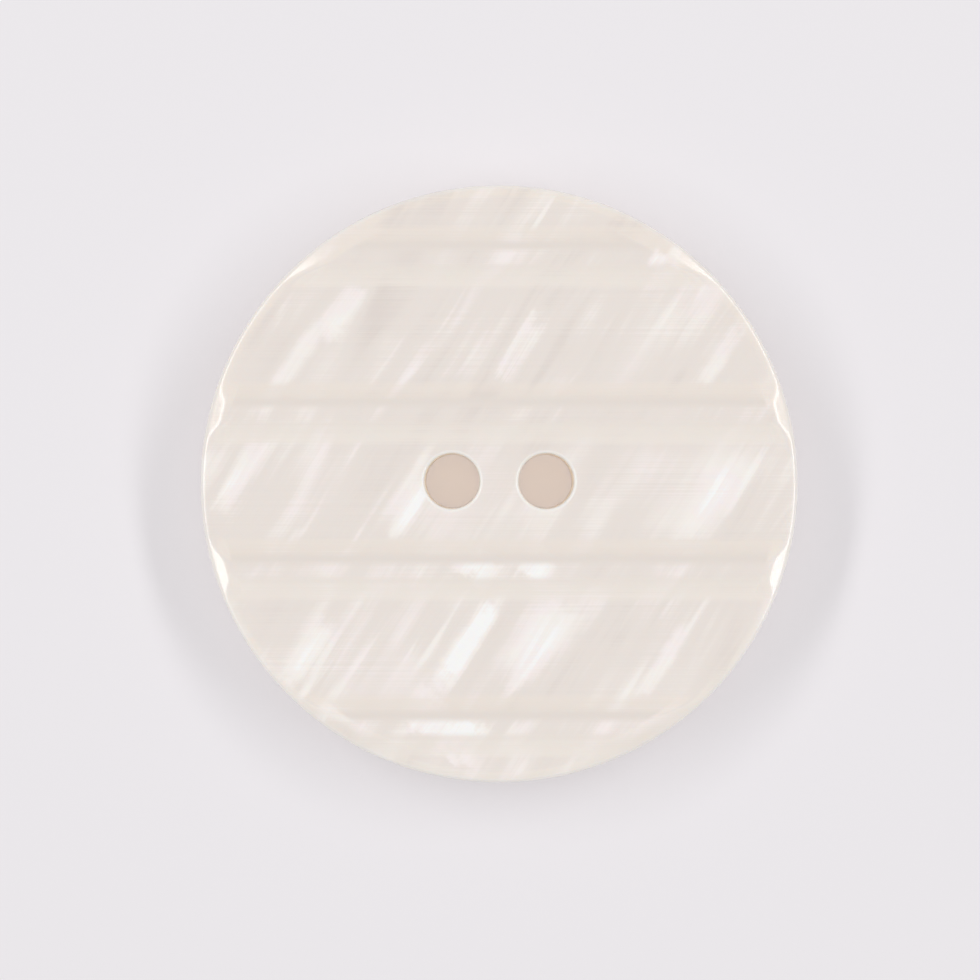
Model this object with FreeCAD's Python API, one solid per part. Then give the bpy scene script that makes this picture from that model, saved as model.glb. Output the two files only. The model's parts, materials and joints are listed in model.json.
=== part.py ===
"""Two-hole sew-on button, 40 line (25.4 mm), cast in one piece of pearl polyester.

The front is scored across by wide shallow flutes that run along X, with a narrow flat
ridge left standing between each two. The back is flat, so that it lies on the cloth.

The part's frame: Z = 0 is the flat back face and Z = THICKNESS is the level of the
ridge tops. The origin is on the disc's axis. The two sewing holes lie along X.
"""

import FreeCAD
import Part
import math
import os

# Driving dimensions, in millimetres.
BUTTON_DIAMETER = 25.4
THICKNESS = 3.2

# The front rim: a shallow bevel that ends in a rounded edge.
FRONT_BEVEL_WIDTH = 0.74
FRONT_BEVEL_DROP = 0.30
FRONT_EDGE_ROUND = 0.26

# The back rim is a little fuller, so that the cloth doesn't catch on it.
BACK_BEVEL_WIDTH = 0.60
BACK_BEVEL_RISE = 0.45
BACK_EDGE_ROUND = 0.35

# The flutes: a straight slope down from each ridge, which an arc joins to the level
# bottom. The arc is tangent to the bottom, and it meets the slope within half a degree of
# a tangent. A hole's rounded mouth lies wholly on the level bottom.
FLUTE_PITCH = 6.64
RIDGE_TOP_WIDTH = 0.86
SLOPE_WIDTH = 0.30
SLOPE_DROP = 0.08
FLUTE_DEPTH = 0.18
FLUTE_FLAT_WIDTH = 3.68
PATTERN_OFFSET = -0.32
FLUTES_EACH_SIDE = 2

# The sewing holes. The line of their centres is a little off the disc's middle in Y.
HOLE_DIAMETER = 2.34
HOLE_PITCH = 4.00
HOLE_LINE_Y = 0.12
HOLE_LIP_ROUND = 0.15

# How far a cutting tool runs past the surface it cuts.
OVERCUT = 1.0


def point(x, y, z):
    """A point in the part's frame."""
    return FreeCAD.Vector(x, y, z)


def polygon_face(corners):
    """A flat face inside a closed outline of straight sides."""
    return Part.Face(Part.makePolygon(corners + corners[:1]))


def ring_edges(shape, radius, height):
    """The circular edges of a turned shape that have this radius and height."""
    found = []
    for edge in shape.Edges:
        if not isinstance(edge.Curve, Part.Circle):
            continue
        same_radius = math.isclose(edge.Curve.Radius, radius, abs_tol=1e-6)
        same_height = math.isclose(edge.Curve.Center.z, height, abs_tol=1e-6)
        if same_radius and same_height:
            found.append(edge)
    return found


def turned_disc():
    """The disc before its flutes and holes, with both of its rims bevelled and rounded."""
    radius = BUTTON_DIAMETER / 2
    front_corner = THICKNESS - FRONT_BEVEL_DROP
    section = polygon_face(
        [
            point(0, 0, 0),
            point(radius - BACK_BEVEL_WIDTH, 0, 0),
            point(radius, 0, BACK_BEVEL_RISE),
            point(radius, 0, front_corner),
            point(radius - FRONT_BEVEL_WIDTH, 0, THICKNESS),
            point(0, 0, THICKNESS),
        ]
    )
    disc = section.revolve(point(0, 0, 0), point(0, 0, 1), 360)
    disc = disc.makeFillet(FRONT_EDGE_ROUND, ring_edges(disc, radius, front_corner))
    disc = disc.makeFillet(BACK_EDGE_ROUND, ring_edges(disc, radius, BACK_BEVEL_RISE))
    back_inner = ring_edges(disc, radius - BACK_BEVEL_WIDTH, 0)
    return disc.makeFillet(BACK_EDGE_ROUND, back_inner)


def flute_cutter(centre_y):
    """The tool that mills one flute: its section, run right across the disc along X."""
    half_width = (FLUTE_PITCH - RIDGE_TOP_WIDTH) / 2
    half_hollow = half_width - SLOPE_WIDTH
    half_flat = FLUTE_FLAT_WIDTH / 2
    start_x = -BUTTON_DIAMETER / 2 - OVERCUT
    clear_z = THICKNESS + OVERCUT
    slope_foot_z = THICKNESS - SLOPE_DROP
    bottom_z = THICKNESS - FLUTE_DEPTH

    # Each side arc leaves the level bottom at a tangent and climbs to the foot of the slope.
    arc_reach = half_hollow - half_flat
    arc_rise = slope_foot_z - bottom_z
    arc_radius = (arc_reach**2 + arc_rise**2) / (2 * arc_rise)
    half_turn = math.asin(arc_reach / arc_radius) / 2
    middle_y = half_flat + arc_radius * math.sin(half_turn)
    middle_z = bottom_z + arc_radius * (1 - math.cos(half_turn))

    def at(offset_y, z):
        return point(start_x, centre_y + offset_y, z)

    def side_arc(side):
        outer = at(side * half_hollow, slope_foot_z)
        inner = at(side * half_flat, bottom_z)
        return Part.Arc(outer, at(side * middle_y, middle_z), inner).toShape()

    bottom = Part.makePolygon([at(-half_flat, bottom_z), at(half_flat, bottom_z)])
    sides = Part.makePolygon(
        [
            at(half_hollow, slope_foot_z),
            at(half_width, THICKNESS),
            at(half_width, clear_z),
            at(-half_width, clear_z),
            at(-half_width, THICKNESS),
            at(-half_hollow, slope_foot_z),
        ]
    )
    outline = Part.Wire([side_arc(-1)] + bottom.Edges + [side_arc(1)] + sides.Edges)
    return Part.Face(outline).extrude(point(BUTTON_DIAMETER + 2 * OVERCUT, 0, 0))


def cut_flutes(disc):
    """The disc with every flute milled across its front."""
    for index in range(-FLUTES_EACH_SIDE, FLUTES_EACH_SIDE + 1):
        disc = disc.cut(flute_cutter(PATTERN_OFFSET + index * FLUTE_PITCH))
    return disc


def drill_holes(disc):
    """The disc with its two sewing holes drilled and their mouths rounded."""
    hole_radius = HOLE_DIAMETER / 2
    for side in (-1, 1):
        foot = point(side * HOLE_PITCH / 2, HOLE_LINE_Y, -OVERCUT)
        disc = disc.cut(Part.makeCylinder(hole_radius, THICKNESS + 2 * OVERCUT, foot))
    front_mouths = ring_edges(disc, hole_radius, THICKNESS - FLUTE_DEPTH)
    back_mouths = ring_edges(disc, hole_radius, 0)
    return disc.makeFillet(HOLE_LIP_ROUND, front_mouths + back_mouths)


def write_node(shape, name):
    """Writes one sub-part, after a test that it is one sound solid."""
    if not shape.isValid() or len(shape.Solids) != 1:
        raise ValueError(f"{name} is not one valid solid")
    solid = shape.Solids[0]
    solid.exportStep(os.path.join("parts", name + ".step"))
    box = solid.optimalBoundingBox(True)
    print(name, f"{box.XLength:.2f} x {box.YLength:.2f} x {box.ZLength:.2f} mm")
    print(name, f"volume {solid.Volume:.1f} mm3")


os.makedirs("parts", exist_ok=True)
write_node(drill_holes(cut_flutes(turned_disc())), "button_body")
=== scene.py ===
"""The looks of a two-hole sew-on button in cream pearl polyester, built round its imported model."""

import json
import math

import bpy
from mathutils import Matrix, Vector
from mathutils.geometry import delaunay_2d_cdt


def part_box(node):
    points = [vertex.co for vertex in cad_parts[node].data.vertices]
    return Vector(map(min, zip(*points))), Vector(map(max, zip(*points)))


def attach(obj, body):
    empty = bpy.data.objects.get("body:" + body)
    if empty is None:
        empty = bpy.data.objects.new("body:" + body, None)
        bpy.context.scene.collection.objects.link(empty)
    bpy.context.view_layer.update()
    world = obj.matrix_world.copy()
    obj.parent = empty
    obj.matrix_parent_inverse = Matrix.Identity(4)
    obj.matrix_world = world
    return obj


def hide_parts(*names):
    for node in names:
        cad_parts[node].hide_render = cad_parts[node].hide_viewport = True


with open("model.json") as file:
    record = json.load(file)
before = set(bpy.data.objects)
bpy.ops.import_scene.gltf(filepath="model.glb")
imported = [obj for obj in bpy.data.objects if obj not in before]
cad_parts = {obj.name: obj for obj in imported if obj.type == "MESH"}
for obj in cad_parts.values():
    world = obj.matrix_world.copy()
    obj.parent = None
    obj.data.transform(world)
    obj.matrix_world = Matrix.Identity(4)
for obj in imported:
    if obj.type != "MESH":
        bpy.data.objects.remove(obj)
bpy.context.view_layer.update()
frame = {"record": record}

# Lengths are in millimetres, and MM turns them into the frame's metres.
MM = 0.001

NODE = "button_body"
BODY = "root"

# The disc and its holes, read from the frame.
node_low, node_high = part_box(NODE)
RADIUS = (node_high[0] - node_low[0]) / 2 / MM
THICKNESS = (node_high[2] - node_low[2]) / MM
HOLES = [m for m in frame["record"]["mounts"] if m["kind"] == "bore"]
HOLE_CENTRES = [(m["pos_m"][0] / MM, m["pos_m"][1] / MM) for m in HOLES]
HOLE_RADIUS = HOLES[0]["dims"]["r_mm"]

# The rest of the shape, as the CAD part has it.
HOLE_LIP_ROUND = 0.15
FRONT_BEVEL_WIDTH = 0.74
FRONT_BEVEL_DROP = 0.30
FRONT_EDGE_ROUND = 0.26
BACK_BEVEL_WIDTH = 0.60
BACK_BEVEL_RISE = 0.45
BACK_EDGE_ROUND = 0.35
FLUTE_PITCH = 6.64
RIDGE_TOP_WIDTH = 0.86
SLOPE_WIDTH = 0.30
SLOPE_DROP = 0.08
FLUTE_DEPTH = 0.18
FLUTE_FLAT_WIDTH = 3.68
PATTERN_OFFSET = -0.32

# How far tumbling and polishing soften the creases of the flutes, and the bevel's inner edge.
CREASE_SOFTNESS = 0.05
BEVEL_SOFTNESS = 0.10

# The pearl's colours, in linear light.
BODY_COLOUR = (0.850, 0.784, 0.736, 1)
SHADE_COLOUR = (0.764, 0.694, 0.650, 1)
GLEAM_COLOUR = (0.962, 0.905, 0.862, 1)
PINK_GLEAM_COLOUR = (0.968, 0.888, 0.868, 1)
# Painted glint: the near-white of the most striking flakes as they catch the lights.
PAINTED_GLINT_COLOUR = (1.000, 0.995, 0.980, 1)
# Painted light: the slopes are painted paler than the body, for how the light falls on them.
UPPER_SLOPE_PAINTED_LIGHT_COLOUR = (0.888, 0.822, 0.762, 1)
LOWER_SLOPE_PAINTED_LIGHT_COLOUR = (0.880, 0.803, 0.738, 1)
# Painted shade in the creases along the ridges' edges.
RIDGE_EDGE_SHADE_COLOUR = (0.826, 0.758, 0.706, 1)
# Painted light on the thin edges of the rim and the holes' lips, for light soaking through the
# resin.
PAINTED_EDGE_LIGHT_COLOUR = (0.960, 0.930, 0.890, 1)
BORE_COLOUR = (0.965, 0.894, 0.782, 1)

# How far the pearl's streaks lean from X, in degrees, and how deep one layer of flakes is.
STREAK_LEAN = 57
LAYER_DEPTH = 0.5

# The most striking flakes, which lie just under the front, with their glint of the lights painted
# into the colour: place in X and Y, length and width along the streaks, strength.
FLASHES = [
    (-6.4, 7.6, 3.4, 1.5, 1.1),
    (-8.8, 5.0, 5.5, 1.1, 0.8),
    (0.8, 5.7, 4.0, 1.3, 1.2),
    (6.6, 9.4, 1.3, 0.7, 1.2),
    (9.4, 5.4, 4.0, 0.9, 0.8),
    (9.0, -0.9, 5.0, 2.0, 0.5),
    (-10.8, 0.6, 5.0, 1.3, 0.8),
    (-3.8, -1.2, 3.0, 0.9, 0.9),
    (-0.8, -3.5, 1.6, 2.2, 1.4),
    (1.6, -3.5, 1.6, 1.6, 1.4),
    (-1.3, -6.7, 4.4, 1.1, 1.8),
    (1.7, -6.9, 4.4, 2.0, 0.8),
    (-8.1, -7.2, 3.4, 1.2, 0.9),
    (-2.2, -10.4, 2.0, 4.4, 1.4),
    (6.9, -7.6, 4.4, 0.8, 0.8),
]

# The slopes blur the pearl under them. From a ridge's middle, the blur grows over the first of
# these spans and fades over the second, and it keeps these shares of the soft and sharp pattern.
BLUR_GROWS = (0.28, 0.62)
BLUR_FADES = (0.95, 1.55)
SOFT_KEPT = 0.6
SHARP_KEPT = 0.2

# How far each way the painted shade of the creases reaches from a ridge's upper and lower edges,
# and how dark it is.
UPPER_EDGE_REACH = 0.36
UPPER_EDGE_SHADE = 1.0
LOWER_EDGE_REACH = 0.26
LOWER_EDGE_SHADE = 0.5

# How wide the painted light along the rim's edge is, and how strong against that round the lips
# of the holes; it stands in for light that soaks through the thin resin. The lips' painted light
# fades between these shares of the lip's rounding, outwards from the wall.
RIM_EDGE_WIDTH = 0.26
RIM_EDGE_PAINTED_LIGHT = 0.6
LIP_FADE = (0.4, 1.2)

# The face's own looks start this far in from the rim, and are full this far in.
FACE_START = 0.8
FACE_FULL = 1.0

# The flakes lie nearly level under the slopes, so they tilt less than the slopes and against them.
FLAKE_TILT = -0.4

# The clear skin is cured polyester resin, and its scratches are this deep.
RESIN_IOR = 1.57
SCRATCH_DEPTH = 0.004

# The plain floor, in metres and in linear light.
FLOOR_HALF_WIDTH = 1.5
FLOOR_COLOUR = (0.846, 0.822, 0.846, 1)

# The lights: degrees from the X axis and from straight overhead, metres and watts.
SIDE_LIGHT_TURN = 11
SIDE_LIGHT_ZENITH = 46
SIDE_LIGHT_DISTANCE = 0.35
SIDE_LIGHT_SIZE = (0.40, 0.05)
SIDE_LIGHT_POWER = 0.345
OVERHEAD_DISTANCE = 0.50
OVERHEAD_SIZE = (0.02, 0.02)
OVERHEAD_POWER = 0.61
SURROUND_STRENGTH = 0.405

# The camera looks straight down on this point, and sees this width at the ridge tops.
VIEW_CENTRE = (-0.39, -0.26)
VIEW_WIDTH = 41.51
LENS = 100
SENSOR_WIDTH = 36

# The mesh's materials, by number.
SKIN_MATERIAL = 0
BORE_MATERIAL = 1

# The fineness of the mesh.
RIM_ZONE = 1.30
RIM_STEPS = 720
HOLE_STEPS = 120
FINE_STEP = 0.07
SIDE_STEP = 0.30
ARC_STEP = math.radians(8)
COLUMN_STEP = 0.25
SLOPE_ROWS = 14
ROWS_PAST_SLOPE = 3
FLAT_ROWS = 4
BACK_GRID_STEP = 1.0
MERGE_DISTANCE = 1e-6


# ---------------------------------------------------------------- the shape


def smooth_min(a, b, softness):
    """The lower of two heights, with the crease between them rounded."""
    near = max(softness - abs(a - b), 0) / softness
    return min(a, b) - near * near * softness / 4


def flute_offset(y):
    """How far y is from the middle of its flute, either way."""
    along = (y - PATTERN_OFFSET) / FLUTE_PITCH
    return abs(along - round(along)) * FLUTE_PITCH


def face_height(y):
    """The height of the fluted front at y, away from the rim and the holes."""
    half_width = (FLUTE_PITCH - RIDGE_TOP_WIDTH) / 2
    half_hollow = half_width - SLOPE_WIDTH
    half_flat = FLUTE_FLAT_WIDTH / 2
    arc_reach = half_hollow - half_flat
    arc_rise = FLUTE_DEPTH - SLOPE_DROP
    arc_radius = (arc_reach**2 + arc_rise**2) / (2 * arc_rise)
    offset = flute_offset(y)
    if offset > half_hollow:
        hollow = THICKNESS + (offset - half_width) * SLOPE_DROP / SLOPE_WIDTH
    else:
        along = max(offset - half_flat, 0)
        hollow = THICKNESS - FLUTE_DEPTH + arc_radius - math.sqrt(arc_radius**2 - along**2)
    return smooth_min(THICKNESS, hollow, CREASE_SOFTNESS)


def rounded_path(corners, radii, straight_steps):
    """Points along a path of straight runs whose inner corners are rounded to these radii."""
    points = [Vector(c) for c in corners]
    path = [points[0]]
    for i in range(1, len(points) - 1):
        back = (points[i - 1] - points[i]).normalized()
        ahead = (points[i + 1] - points[i]).normalized()
        opening = back.angle(ahead)
        reach = radii[i - 1] / math.tan(opening / 2)
        start = points[i] + back * reach
        centre = points[i] + (back + ahead).normalized() * radii[i - 1] / math.sin(opening / 2)
        add_straight(path, start, straight_steps[i - 1])
        turn = math.pi - opening
        steps = max(2, math.ceil(turn / ARC_STEP))
        side = 1 if back.cross(ahead) > 0 else -1
        spoke = start - centre
        for k in range(1, steps + 1):
            path.append(centre + turned(spoke, -side * turn * k / steps))
    add_straight(path, points[-1], straight_steps[-1])
    return path


def turned(vector, angle):
    """A plane vector turned anticlockwise."""
    cosine, sine = math.cos(angle), math.sin(angle)
    return Vector((vector.x * cosine - vector.y * sine, vector.x * sine + vector.y * cosine))


def add_straight(path, end, step):
    """Adds a straight run to a path, in steps of about this length."""
    start = path[-1]
    count = max(1, math.ceil((end - start).length / step))
    for k in range(1, count + 1):
        path.append(start.lerp(end, k / count))


def rim_path():
    """The disc's outline in radius and height, from the front over the rim to the back."""
    slope = FRONT_BEVEL_DROP / FRONT_BEVEL_WIDTH
    inner = RADIUS - RIM_ZONE
    bevel_start = THICKNESS + (RIM_ZONE - FRONT_BEVEL_WIDTH) * slope
    corners = [
        (inner, bevel_start),
        (RADIUS, THICKNESS - FRONT_BEVEL_DROP),
        (RADIUS, BACK_BEVEL_RISE),
        (RADIUS - BACK_BEVEL_WIDTH, 0),
        (inner, 0),
    ]
    radii = [FRONT_EDGE_ROUND, BACK_EDGE_ROUND, BACK_EDGE_ROUND]
    steps = [FINE_STEP, SIDE_STEP, FINE_STEP, SIDE_STEP]
    return rounded_path(corners, radii, steps)


def lip_path():
    """A hole's outline as (distance outside the wall, depth below the front), front lip to wall."""
    path = []
    steps = math.ceil(math.pi / 2 / ARC_STEP)
    for k in range(steps + 1):
        angle = math.pi / 2 * k / steps
        outside = HOLE_LIP_ROUND * (1 - math.sin(angle))
        path.append((outside, HOLE_LIP_ROUND * (1 - math.cos(angle))))
    return path


class Builder:
    """Collects the vertices and faces of one closed mesh."""

    def __init__(self):
        self.points = []
        self.faces = []
        self.materials = []

    def ring(self, centre, radius, count, height):
        """Adds a ring of vertices whose heights come from a function of (x, y)."""
        first = len(self.points)
        for k in range(count):
            angle = 2 * math.pi * k / count
            x = centre[0] + radius * math.cos(angle)
            y = centre[1] + radius * math.sin(angle)
            self.points.append((x, y, height(x, y)))
        return list(range(first, first + count))

    def face(self, corners, material=SKIN_MATERIAL):
        """Adds one face with a material's number."""
        self.faces.append(corners)
        self.materials.append(material)

    def band(self, upper, lower, material=SKIN_MATERIAL):
        """Joins two rings with quads that face outwards when upper is the one nearer the front."""
        count = len(upper)
        for k in range(count):
            after = (k + 1) % count
            self.face((upper[k], lower[k], lower[after], upper[after]), material)

    def sheet(self, outer, inners, extra, height, facing_up):
        """Fills the plane between an outer ring and inner rings, through extra points."""
        first = len(self.points)
        for x, y in extra:
            self.points.append((x, y, height(x, y)))
        loops = [outer] + inners
        used = [i for loop in loops for i in loop] + list(range(first, len(self.points)))
        flat = [Vector(self.points[i][:2]) for i in used]
        edges = []
        start = 0
        for loop in loops:
            for k in range(len(loop)):
                edges.append((start + k, start + (k + 1) % len(loop)))
            start += len(loop)
        made = delaunay_2d_cdt(flat, edges, [], 0, MERGE_DISTANCE, True)
        triangles, origins = made[2], made[3]
        rings = [set(inner) for inner in inners]
        for triangle in triangles:
            face = tuple(used[origins[i][0]] for i in triangle)
            # A triangle with all its corners on one inner ring would close that hole.
            if any(ring.issuperset(face) for ring in rings):
                continue
            self.face(face if facing_up else face[::-1])

    def mesh(self, name):
        """The finished mesh, in metres and smooth shaded."""
        mesh = bpy.data.meshes.new(name)
        mesh.from_pydata([tuple(c * MM for c in p) for p in self.points], [], self.faces)
        mesh.polygons.foreach_set("material_index", self.materials)
        mesh.polygons.foreach_set("use_smooth", [True] * len(mesh.polygons))
        mesh.update()
        return mesh


def in_a_hole(x, y, radius):
    """Whether a point of the plan lies within this radius of a hole's centre."""
    return any(math.hypot(x - cx, y - cy) < radius for cx, cy in HOLE_CENTRES)


def fluted_rows():
    """The Y places of the front's mesh rows: close on the slopes and wide apart elsewhere."""
    half_width = (FLUTE_PITCH - RIDGE_TOP_WIDTH) / 2
    half_flat = FLUTE_FLAT_WIDTH / 2
    fine_step = (half_width - half_flat) / SLOPE_ROWS
    offsets = [half_flat + k * fine_step for k in range(-1, SLOPE_ROWS + ROWS_PAST_SLOPE + 1)]
    offsets += [half_flat * k / FLAT_ROWS for k in range(FLAT_ROWS)]
    offsets.append(FLUTE_PITCH / 2)
    last = math.ceil(RADIUS / FLUTE_PITCH) + 1
    rows = set()
    for index in range(-last, last + 1):
        for offset in offsets:
            for side in (-1, 1):
                rows.add(round(PATTERN_OFFSET + index * FLUTE_PITCH + side * offset, 4))
    return sorted(rows)


def plan_points(rows, columns, margin, hole_margin):
    """The grid points that lie clear of the rim's rings and the holes' rings."""
    reach = RADIUS - RIM_ZONE - margin
    clear = HOLE_RADIUS + HOLE_LIP_ROUND + hole_margin
    found = []
    for y in rows:
        for x in columns:
            if math.hypot(x, y) < reach and not in_a_hole(x, y, clear):
                found.append((x, y))
    return found


def evenly(step):
    """Places from one side of the disc to the other, this far apart."""
    count = int(RADIUS / step)
    return [k * step for k in range(-count, count + 1)]


def button_mesh():
    """The whole button as one closed mesh."""
    builder = Builder()

    def front(x, y):
        return face_height(y)

    def rim_height(level):
        half = THICKNESS / 2
        if level < half:
            return lambda x, y: level
        return lambda x, y: smooth_min(level, face_height(y), BEVEL_SOFTNESS)

    rim = []
    for radius, level in rim_path():
        rim.append(builder.ring((0, 0), radius, RIM_STEPS, rim_height(level)))
    for upper, lower in zip(rim, rim[1:]):
        builder.band(upper, lower)

    mouths = []
    feet = []
    for centre in HOLE_CENTRES:
        rings = []
        for outside, depth in lip_path():
            radius = HOLE_RADIUS + outside
            rings.append(
                builder.ring(centre, radius, HOLE_STEPS, lambda x, y: face_height(y) - depth)
            )
        for outside, depth in reversed(lip_path()):
            radius = HOLE_RADIUS + outside
            rings.append(builder.ring(centre, radius, HOLE_STEPS, lambda x, y: depth))
        wall = len(lip_path()) - 1
        for number, (upper, lower) in enumerate(zip(rings, rings[1:])):
            builder.band(lower, upper, BORE_MATERIAL if number == wall else SKIN_MATERIAL)
        mouths.append(rings[0])
        feet.append(rings[-1])

    front_points = plan_points(fluted_rows(), evenly(COLUMN_STEP), margin=0.1, hole_margin=0.05)
    builder.sheet(rim[0], mouths, front_points, front, True)
    back_places = evenly(BACK_GRID_STEP)
    back_points = plan_points(back_places, back_places, margin=0.4, hole_margin=0.4)
    builder.sheet(rim[-1], feet, back_points, lambda x, y: 0.0, False)
    return builder.mesh("pearl_button")


# ---------------------------------------------------------------- the stage


def floor():
    """A plain pale floor, level with the button's back."""
    half = FLOOR_HALF_WIDTH
    mesh = bpy.data.meshes.new("floor")
    corners = [(-half, -half, 0), (half, -half, 0), (half, half, 0), (-half, half, 0)]
    mesh.from_pydata(corners, [], [(0, 1, 2, 3)])
    obj = bpy.data.objects.new("floor", mesh)
    bpy.context.scene.collection.objects.link(obj)
    material = bpy.data.materials.new("pale_floor")
    material.use_nodes = True
    shader = material.node_tree.nodes["Principled BSDF"]
    shader.inputs["Base Color"].default_value = FLOOR_COLOUR
    shader.inputs["Roughness"].default_value = 0.9
    shader.inputs["Specular IOR Level"].default_value = 0.2
    mesh.materials.append(material)


def softbox(name, azimuth, zenith, distance, size, power):
    """A rectangular soft light in this direction from the button, aimed at the button."""
    data = bpy.data.lights.new(name, "AREA")
    data.shape = "RECTANGLE"
    data.size, data.size_y = size
    data.energy = power
    lamp = bpy.data.objects.new(name, data)
    a, z = math.radians(azimuth), math.radians(zenith)
    towards = Vector((math.sin(z) * math.cos(a), math.sin(z) * math.sin(a), math.cos(z)))
    lamp.location = towards * distance
    lamp.rotation_euler = towards.to_track_quat("Z", "Y").to_euler()
    bpy.context.scene.collection.objects.link(lamp)
    return lamp


def surround():
    """An even, dim white light from all round."""
    world = bpy.data.worlds.new("surround")
    world.use_nodes = True
    background = world.node_tree.nodes["Background"]
    background.inputs["Color"].default_value = (1, 1, 1, 1)
    background.inputs["Strength"].default_value = SURROUND_STRENGTH
    bpy.context.scene.world = world


def lights():
    """Soft lights at both sides and one overhead, and an even surround.

    The overhead light reaches down into the holes, and only the matt part of the skin shows it.
    """
    for name, azimuth in (("light_right", SIDE_LIGHT_TURN), ("light_left", 180 - SIDE_LIGHT_TURN)):
        softbox(
            name, azimuth, SIDE_LIGHT_ZENITH, SIDE_LIGHT_DISTANCE, SIDE_LIGHT_SIZE, SIDE_LIGHT_POWER
        )
    straight_up = (0, 0)
    overhead = softbox(
        "light_overhead", *straight_up, OVERHEAD_DISTANCE, OVERHEAD_SIZE, OVERHEAD_POWER
    )
    overhead.visible_glossy = False
    surround()
    # Enough bounces for the light to find its way up and down the narrow holes.
    bpy.context.scene.cycles.diffuse_bounces = 16
    bpy.context.scene.cycles.max_bounces = 24


def camera():
    """A camera that looks straight down, with the button a little off the middle of its view."""
    data = bpy.data.cameras.new("camera")
    data.lens = LENS
    data.sensor_width = SENSOR_WIDTH
    data.clip_start = 0.01
    height = THICKNESS + VIEW_WIDTH * LENS / SENSOR_WIDTH
    obj = bpy.data.objects.new("camera", data)
    obj.location = Vector((*VIEW_CENTRE, height)) * MM
    bpy.context.scene.collection.objects.link(obj)
    bpy.context.scene.camera = obj


# ---------------------------------------------------------------- the materials


class Nodes:
    """Short ways to add nodes to a material. Sockets and numbers can both be given as inputs."""

    def __init__(self, tree):
        self.tree = tree

    def put(self, socket, value):
        """Sets or links one input."""
        if isinstance(value, bpy.types.NodeSocket):
            self.tree.links.new(value, socket)
        else:
            socket.default_value = value

    def math(self, operation, a, b=0.0):
        """A number worked out from one or two others."""
        node = self.tree.nodes.new("ShaderNodeMath")
        node.operation = operation
        self.put(node.inputs[0], a)
        self.put(node.inputs[1], b)
        return node.outputs[0]

    def add(self, a, b):
        """a + b."""
        return self.math("ADD", a, b)

    def less(self, a, b):
        """a - b."""
        return self.math("SUBTRACT", a, b)

    def times(self, a, b):
        """a * b."""
        return self.math("MULTIPLY", a, b)

    def over(self, a, b):
        """a / b."""
        return self.math("DIVIDE", a, b)

    def size_of(self, a):
        """a without its sign."""
        return self.math("ABSOLUTE", a)

    def tint(self, amount, a, b):
        """A colour between a and b. The node's own sockets for colours are 6, 7 and 2."""
        node = self.tree.nodes.new("ShaderNodeMix")
        node.data_type = "RGBA"
        self.put(node.inputs[0], amount)
        self.put(node.inputs[6], a)
        self.put(node.inputs[7], b)
        return node.outputs[2]

    def span(self, value, low, high, to_low=0.0, to_high=1.0):
        """A smooth change from to_low to to_high as value goes from low to high."""
        node = self.tree.nodes.new("ShaderNodeMapRange")
        node.interpolation_type = "SMOOTHSTEP"
        for socket, given in zip(node.inputs, (value, low, high, to_low, to_high)):
            self.put(socket, given)
        return node.outputs[0]

    def vector(self, x, y, z):
        """A vector from three numbers."""
        node = self.tree.nodes.new("ShaderNodeCombineXYZ")
        for socket, given in zip(node.inputs, (x, y, z)):
            self.put(socket, given)
        return node.outputs[0]

    def parts(self, vector):
        """The three numbers of a vector."""
        node = self.tree.nodes.new("ShaderNodeSeparateXYZ")
        self.put(node.inputs[0], vector)
        return node.outputs[0], node.outputs[1], node.outputs[2]

    def place(self):
        """The point of the surface, as X, Y and Z in millimetres."""
        point = self.tree.nodes.new("ShaderNodeTexCoord").outputs["Object"]
        return [self.over(part, MM) for part in self.parts(point)]

    def noise(self, x, y, z, detail=2.0):
        """Soft noise about 0, with features about one unit across."""
        node = self.tree.nodes.new("ShaderNodeTexNoise")
        self.put(node.inputs["Vector"], self.vector(x, y, z))
        node.inputs["Scale"].default_value = 1.0
        node.inputs["Detail"].default_value = detail
        return self.less(node.outputs[0], 0.5)

    def bump(self, height, depth, strength):
        """A normal for this height, where one unit of height is depth millimetres."""
        node = self.tree.nodes.new("ShaderNodeBump")
        self.put(node.inputs["Height"], height)
        node.inputs["Distance"].default_value = depth * MM
        node.inputs["Strength"].default_value = strength
        return node.outputs[0]

    def unit(self, vector):
        """The same direction, one unit long."""
        node = self.tree.nodes.new("ShaderNodeVectorMath")
        node.operation = "NORMALIZE"
        self.put(node.inputs[0], vector)
        return node.outputs[0]

    def length(self, x, y):
        """The length of a plane vector."""
        return self.math("SQRT", self.add(self.math("POWER", x, 2), self.math("POWER", y, 2)))


def new_material(name):
    """A material, its shader and the means to add nodes to it."""
    material = bpy.data.materials.new(name)
    material.use_nodes = True
    tree = material.node_tree
    return material, tree.nodes["Principled BSDF"], Nodes(tree)


def streak_frame(nodes, x, y):
    """The place along and across the pearl's streaks."""
    cosine, sine = math.cos(math.radians(STREAK_LEAN)), math.sin(math.radians(STREAK_LEAN))
    along = nodes.add(nodes.times(x, cosine), nodes.times(y, sine))
    across = nodes.less(nodes.times(y, cosine), nodes.times(x, sine))
    return along, across


def wander(nodes, x, y, size, amount, seed):
    """A smooth shift, up to about amount either way, that changes over this size."""
    return nodes.times(nodes.noise(nodes.over(x, size), nodes.over(y, size), seed), 2 * amount)


def strokes(nodes, along, across, layer, length, width, detail=1.0):
    """Noise drawn out into brush strokes of this length and width, about 0, in one layer."""
    return nodes.noise(nodes.over(along, length), nodes.over(across, width), layer, detail)


def ridge_offset(nodes, y):
    """How far y is from the middle of the nearest ridge: positive above it, negative below it."""
    along = nodes.math("FLOORED_MODULO", nodes.less(y, PATTERN_OFFSET), FLUTE_PITCH)
    return nodes.less(along, FLUTE_PITCH / 2)


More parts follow.
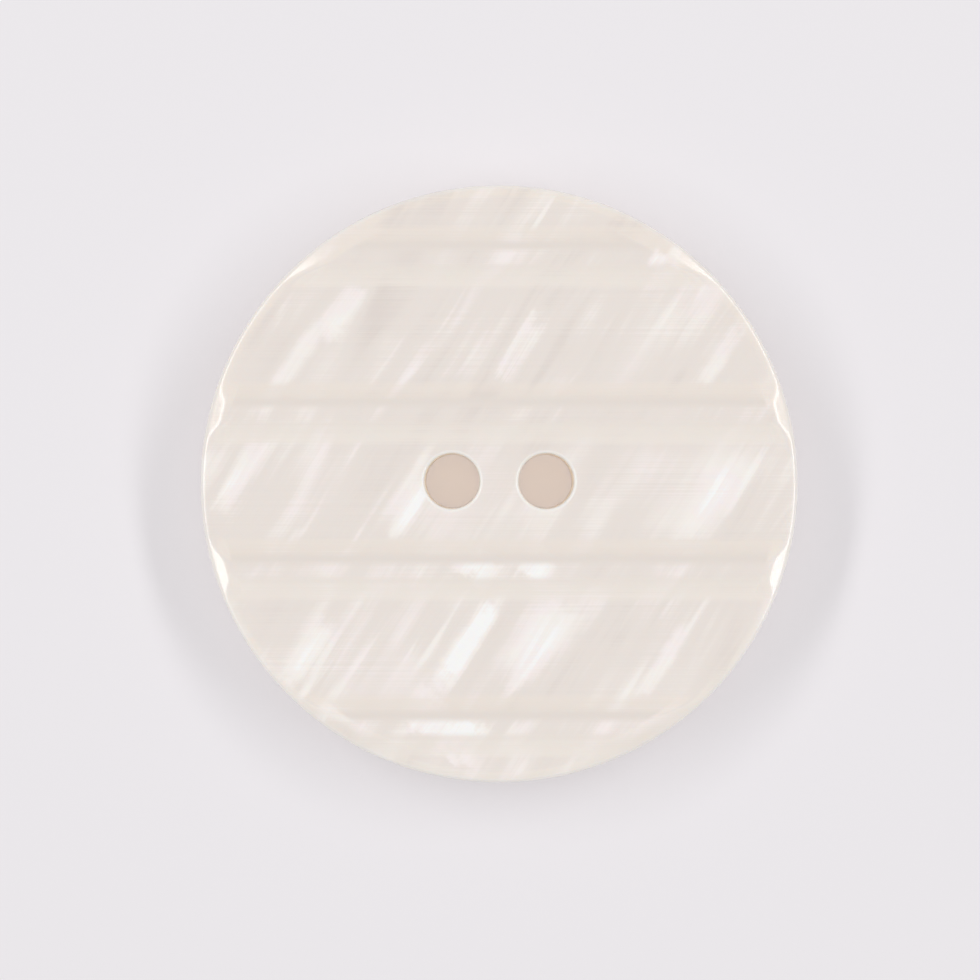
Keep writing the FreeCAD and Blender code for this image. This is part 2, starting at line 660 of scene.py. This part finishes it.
def ridge_edge_shade(nodes, from_ridge):
    """Painted shade in the creases along the ridges' edges: soft, and most along the upper edges."""
    upper = nodes.size_of(nodes.less(from_ridge, RIDGE_TOP_WIDTH / 2))
    lower = nodes.size_of(nodes.add(from_ridge, RIDGE_TOP_WIDTH / 2))
    upper = nodes.span(upper, 0.0, UPPER_EDGE_REACH, UPPER_EDGE_SHADE, 0.0)
    lower = nodes.span(lower, 0.0, LOWER_EDGE_REACH, LOWER_EDGE_SHADE, 0.0)
    return nodes.add(upper, lower)


def slope_blur(nodes, from_ridge):
    """1 on the slopes, and 0 on the ridge tops and the flutes' level bottoms."""
    beside = nodes.size_of(from_ridge)
    return nodes.less(nodes.span(beside, *BLUR_GROWS), nodes.span(beside, *BLUR_FADES))


def from_nearest_hole(nodes, x, y):
    """How far outside the nearest hole's wall this is, in widths of the lip's rounding."""
    right_x, right_y = max(HOLE_CENTRES)
    off_x = nodes.less(nodes.size_of(x), right_x)
    outside = nodes.less(nodes.length(off_x, nodes.less(y, right_y)), HOLE_RADIUS)
    return nodes.over(outside, HOLE_LIP_ROUND)


def painted_edge_light(nodes, from_hole, from_axis, front):
    """Painted light on the thin edges, for light soaking through: most round the holes, less on the
    rim.
    """
    lip_light = nodes.span(from_hole, *LIP_FADE, 1.0, 0.0)
    rim = nodes.span(from_axis, RADIUS - RIM_EDGE_WIDTH, RADIUS, 0.0, RIM_EDGE_PAINTED_LIGHT)
    return nodes.add(lip_light, nodes.times(rim, front))


def painted_glint_pattern(nodes, x, y):
    """The striking flakes' painted glints, summed, each a soft frayed slip that lies along the
    streaks.
    """
    along, across = streak_frame(nodes, x, y)
    along = nodes.add(along, wander(nodes, x, y, size=0.5, amount=0.7, seed=1.3))
    across = nodes.add(across, wander(nodes, x, y, size=0.9, amount=0.12, seed=6.1))
    lean = Vector((math.cos(math.radians(STREAK_LEAN)), math.sin(math.radians(STREAK_LEAN))))
    total = 0.0
    for flash_x, flash_y, length, width, strength in FLASHES:
        middle = Vector((flash_x, flash_y))
        off_along = nodes.size_of(nodes.less(along, lean.dot(middle)))
        off_across = nodes.size_of(nodes.less(across, lean.cross(middle)))
        inside_length = nodes.span(off_along, length * 0.2, length * 0.6, strength, 0.0)
        inside_width = nodes.span(off_across, width * 0.1, width * 0.6, 1.0, 0.0)
        total = nodes.add(total, nodes.times(inside_length, inside_width))
    return total


def pearl_pattern(nodes, x, y, z, front):
    """The brightness of the pearl, as broad soft bands and as sharp flakes, each about 0.

    The flakes fill the resin in thin level layers, so the pattern also changes with depth.
    """
    along, across = streak_frame(nodes, x, y)
    across = nodes.add(across, wander(nodes, x, y, size=7.0, amount=0.35, seed=3.7))
    layers = [nodes.add(nodes.over(z, LAYER_DEPTH), 5.1 * k) for k in range(5)]
    haze = strokes(nodes, along, across, layers[0], length=6.0, width=2.6)
    bands = strokes(nodes, along, across, layers[1], length=9.0, width=0.95)
    stripes = strokes(nodes, along, across, layers[2], length=5.0, width=0.50)
    lines = strokes(nodes, along, across, layers[3], length=4.0, width=0.20)
    hair = strokes(nodes, along, across, layers[4], length=4.0, width=0.08, detail=2.0)

    # The flakes crowd together in some places and leave others calm.
    crowding = wander(nodes, x, y, size=4.0, amount=1.0, seed=9.4)
    crowding = nodes.span(crowding, -0.25, 0.20, 0.25, 1.0)

    soft = nodes.times(nodes.span(bands, -0.15, 0.22, to_low=-0.20, to_high=0.65), crowding)
    soft = nodes.add(soft, nodes.times(haze, 2.0))

    # The disc is a little paler towards its lower side and in its middle flute.
    soft = nodes.add(soft, nodes.span(y, -RADIUS, RADIUS, to_low=0.12, to_high=-0.16))
    from_middle = nodes.size_of(nodes.less(y, PATTERN_OFFSET))
    soft = nodes.add(soft, nodes.span(from_middle, 0.8, 2.6, to_low=0.3, to_high=0.0))

    sharp = nodes.span(stripes, 0.05, 0.28, to_low=-0.05, to_high=0.70)
    sharp = nodes.add(sharp, nodes.times(lines, 0.5))
    sharp = nodes.times(nodes.add(sharp, nodes.times(hair, 0.3)), crowding)
    grain = nodes.add(nodes.times(hair, 0.6), 1.0)
    # Painted glints: the striking flakes' bright reflection of the lights, painted into the
    # brightness.
    glints = nodes.times(nodes.times(painted_glint_pattern(nodes, x, y), grain), front)
    return soft, nodes.add(sharp, glints)


def scratch_pattern(nodes, x, y):
    """Fine polishing scratches along X, in some places more than in others, about 0."""
    scratches = strokes(nodes, x, y, 4.4, length=9.0, width=0.055, detail=3.0)
    patches = strokes(nodes, x, y, 2.8, length=6.0, width=1.5, detail=2.0)
    return nodes.times(scratches, nodes.span(patches, -0.15, 0.15, to_low=0.3, to_high=1.0))


def pearl_colour(nodes, x, y, level, tilt_y):
    """The pearl's colour at this brightness, on the level and on the slopes, which carry painted
    light.
    """
    hue = nodes.span(wander(nodes, x, y, size=2.5, amount=1.0, seed=8.2), -0.1, 0.1)
    gleam = nodes.tint(hue, GLEAM_COLOUR, PINK_GLEAM_COLOUR)
    # Painted light: the upper and lower slopes are painted paler than the level, for how light falls
    # on them.
    colour = nodes.tint(nodes.span(tilt_y, -0.12, -0.01), UPPER_SLOPE_PAINTED_LIGHT_COLOUR, BODY_COLOUR)
    colour = nodes.tint(nodes.span(tilt_y, 0.01, 0.12), colour, LOWER_SLOPE_PAINTED_LIGHT_COLOUR)
    colour = nodes.tint(nodes.span(level, -1.0, 0.0), SHADE_COLOUR, colour)
    colour = nodes.tint(nodes.span(level, 0.0, 1.0), colour, gleam)
    # Painted glint: the brightest pearl, mostly the striking flakes, turns near-white.
    return nodes.tint(nodes.span(level, 0.9, 1.8), colour, PAINTED_GLINT_COLOUR)


def pearl_material():
    """Cream resin with pearl flakes in it, under a clear polished skin with fine scratches."""
    material, shader, nodes = new_material("cream_pearl_polyester")
    x, y, z = nodes.place()
    facing = nodes.tree.nodes.new("ShaderNodeNewGeometry").outputs["Normal"]
    tilt_x, tilt_y, tilt_z = nodes.parts(facing)
    from_axis = nodes.length(x, y)
    from_hole = from_nearest_hole(nodes, x, y)
    from_ridge = ridge_offset(nodes, y)
    front = nodes.span(z, THICKNESS - 2 * FRONT_BEVEL_DROP, THICKNESS - FRONT_BEVEL_DROP)
    on_face = nodes.times(nodes.span(from_axis, RADIUS - FACE_START, RADIUS - FACE_FULL), front)

    # The pearl shows clearly through the level surfaces, and the slopes blur it.
    soft, sharp = pearl_pattern(nodes, x, y, z, front)
    scratch = scratch_pattern(nodes, x, y)
    blur = nodes.times(slope_blur(nodes, from_ridge), front)
    soft = nodes.times(soft, nodes.span(blur, 0.0, 1.0, 1.0, SOFT_KEPT))
    sharp = nodes.times(sharp, nodes.span(blur, 0.0, 1.0, 1.0, SHARP_KEPT))
    level = nodes.add(nodes.add(soft, sharp), scratch)

    colour = pearl_colour(nodes, x, y, level, tilt_y)
    # Painted shade in the creases along the ridges' edges.
    edges = nodes.times(ridge_edge_shade(nodes, from_ridge), on_face)
    colour = nodes.tint(edges, colour, RIDGE_EDGE_SHADE_COLOUR)
    # Painted light on the thin edges of the rim and the lips of the holes.
    edge_light_amount = painted_edge_light(nodes, from_hole, from_axis, front)
    nodes.put(shader.inputs["Base Color"], nodes.tint(edge_light_amount, colour, PAINTED_EDGE_LIGHT_COLOUR))

    # Inside, the flakes face nearly upwards. The clear skin keeps the surface's own normal, and
    # so do the lips of the holes.
    on_flutes = nodes.times(on_face, nodes.span(from_hole, 1.0, 1.2))
    follow = nodes.span(on_flutes, 0.0, 1.0, 1.0, FLAKE_TILT)
    flake_facing = nodes.vector(tilt_x, nodes.times(tilt_y, follow), tilt_z)
    nodes.put(shader.inputs["Normal"], nodes.unit(flake_facing))
    nodes.put(shader.inputs["Roughness"], nodes.span(level, -1.0, 1.0, 0.42, 0.30))
    shader.inputs["Specular IOR Level"].default_value = 0.3
    shader.inputs["Subsurface Weight"].default_value = 0.2
    shader.inputs["Subsurface Radius"].default_value = (1.0, 0.75, 0.55)
    shader.inputs["Subsurface Scale"].default_value = 0.8 * MM
    shader.inputs["Coat Weight"].default_value = 1.0
    shader.inputs["Coat IOR"].default_value = RESIN_IOR
    shader.inputs["Coat Roughness"].default_value = 0.15
    nodes.put(shader.inputs["Coat Normal"], nodes.bump(scratch, SCRATCH_DEPTH, 0.5))
    return material


def bore_material():
    """The drilled walls, paler and warmer than the face, because light soaks through to them."""
    material, shader, nodes = new_material("drilled_resin_bore")
    x, y, z = nodes.place()
    turns = nodes.noise(x, y, nodes.over(z, 0.08))
    shader.inputs["Base Color"].default_value = BORE_COLOUR
    nodes.put(shader.inputs["Roughness"], nodes.span(turns, -0.2, 0.2, 0.35, 0.5))
    return material


# ---------------------------------------------------------------- the button


def button():
    """The button's visible mesh, in place of its CAD node."""
    obj = bpy.data.objects.new("pearl_button", button_mesh())
    bpy.context.scene.collection.objects.link(obj)
    obj.data.materials.append(pearl_material())
    obj.data.materials.append(bore_material())
    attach(obj, BODY)
    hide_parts(NODE)


bpy.context.scene.view_settings.view_transform = "Standard"
camera()
button()
floor()
lights()
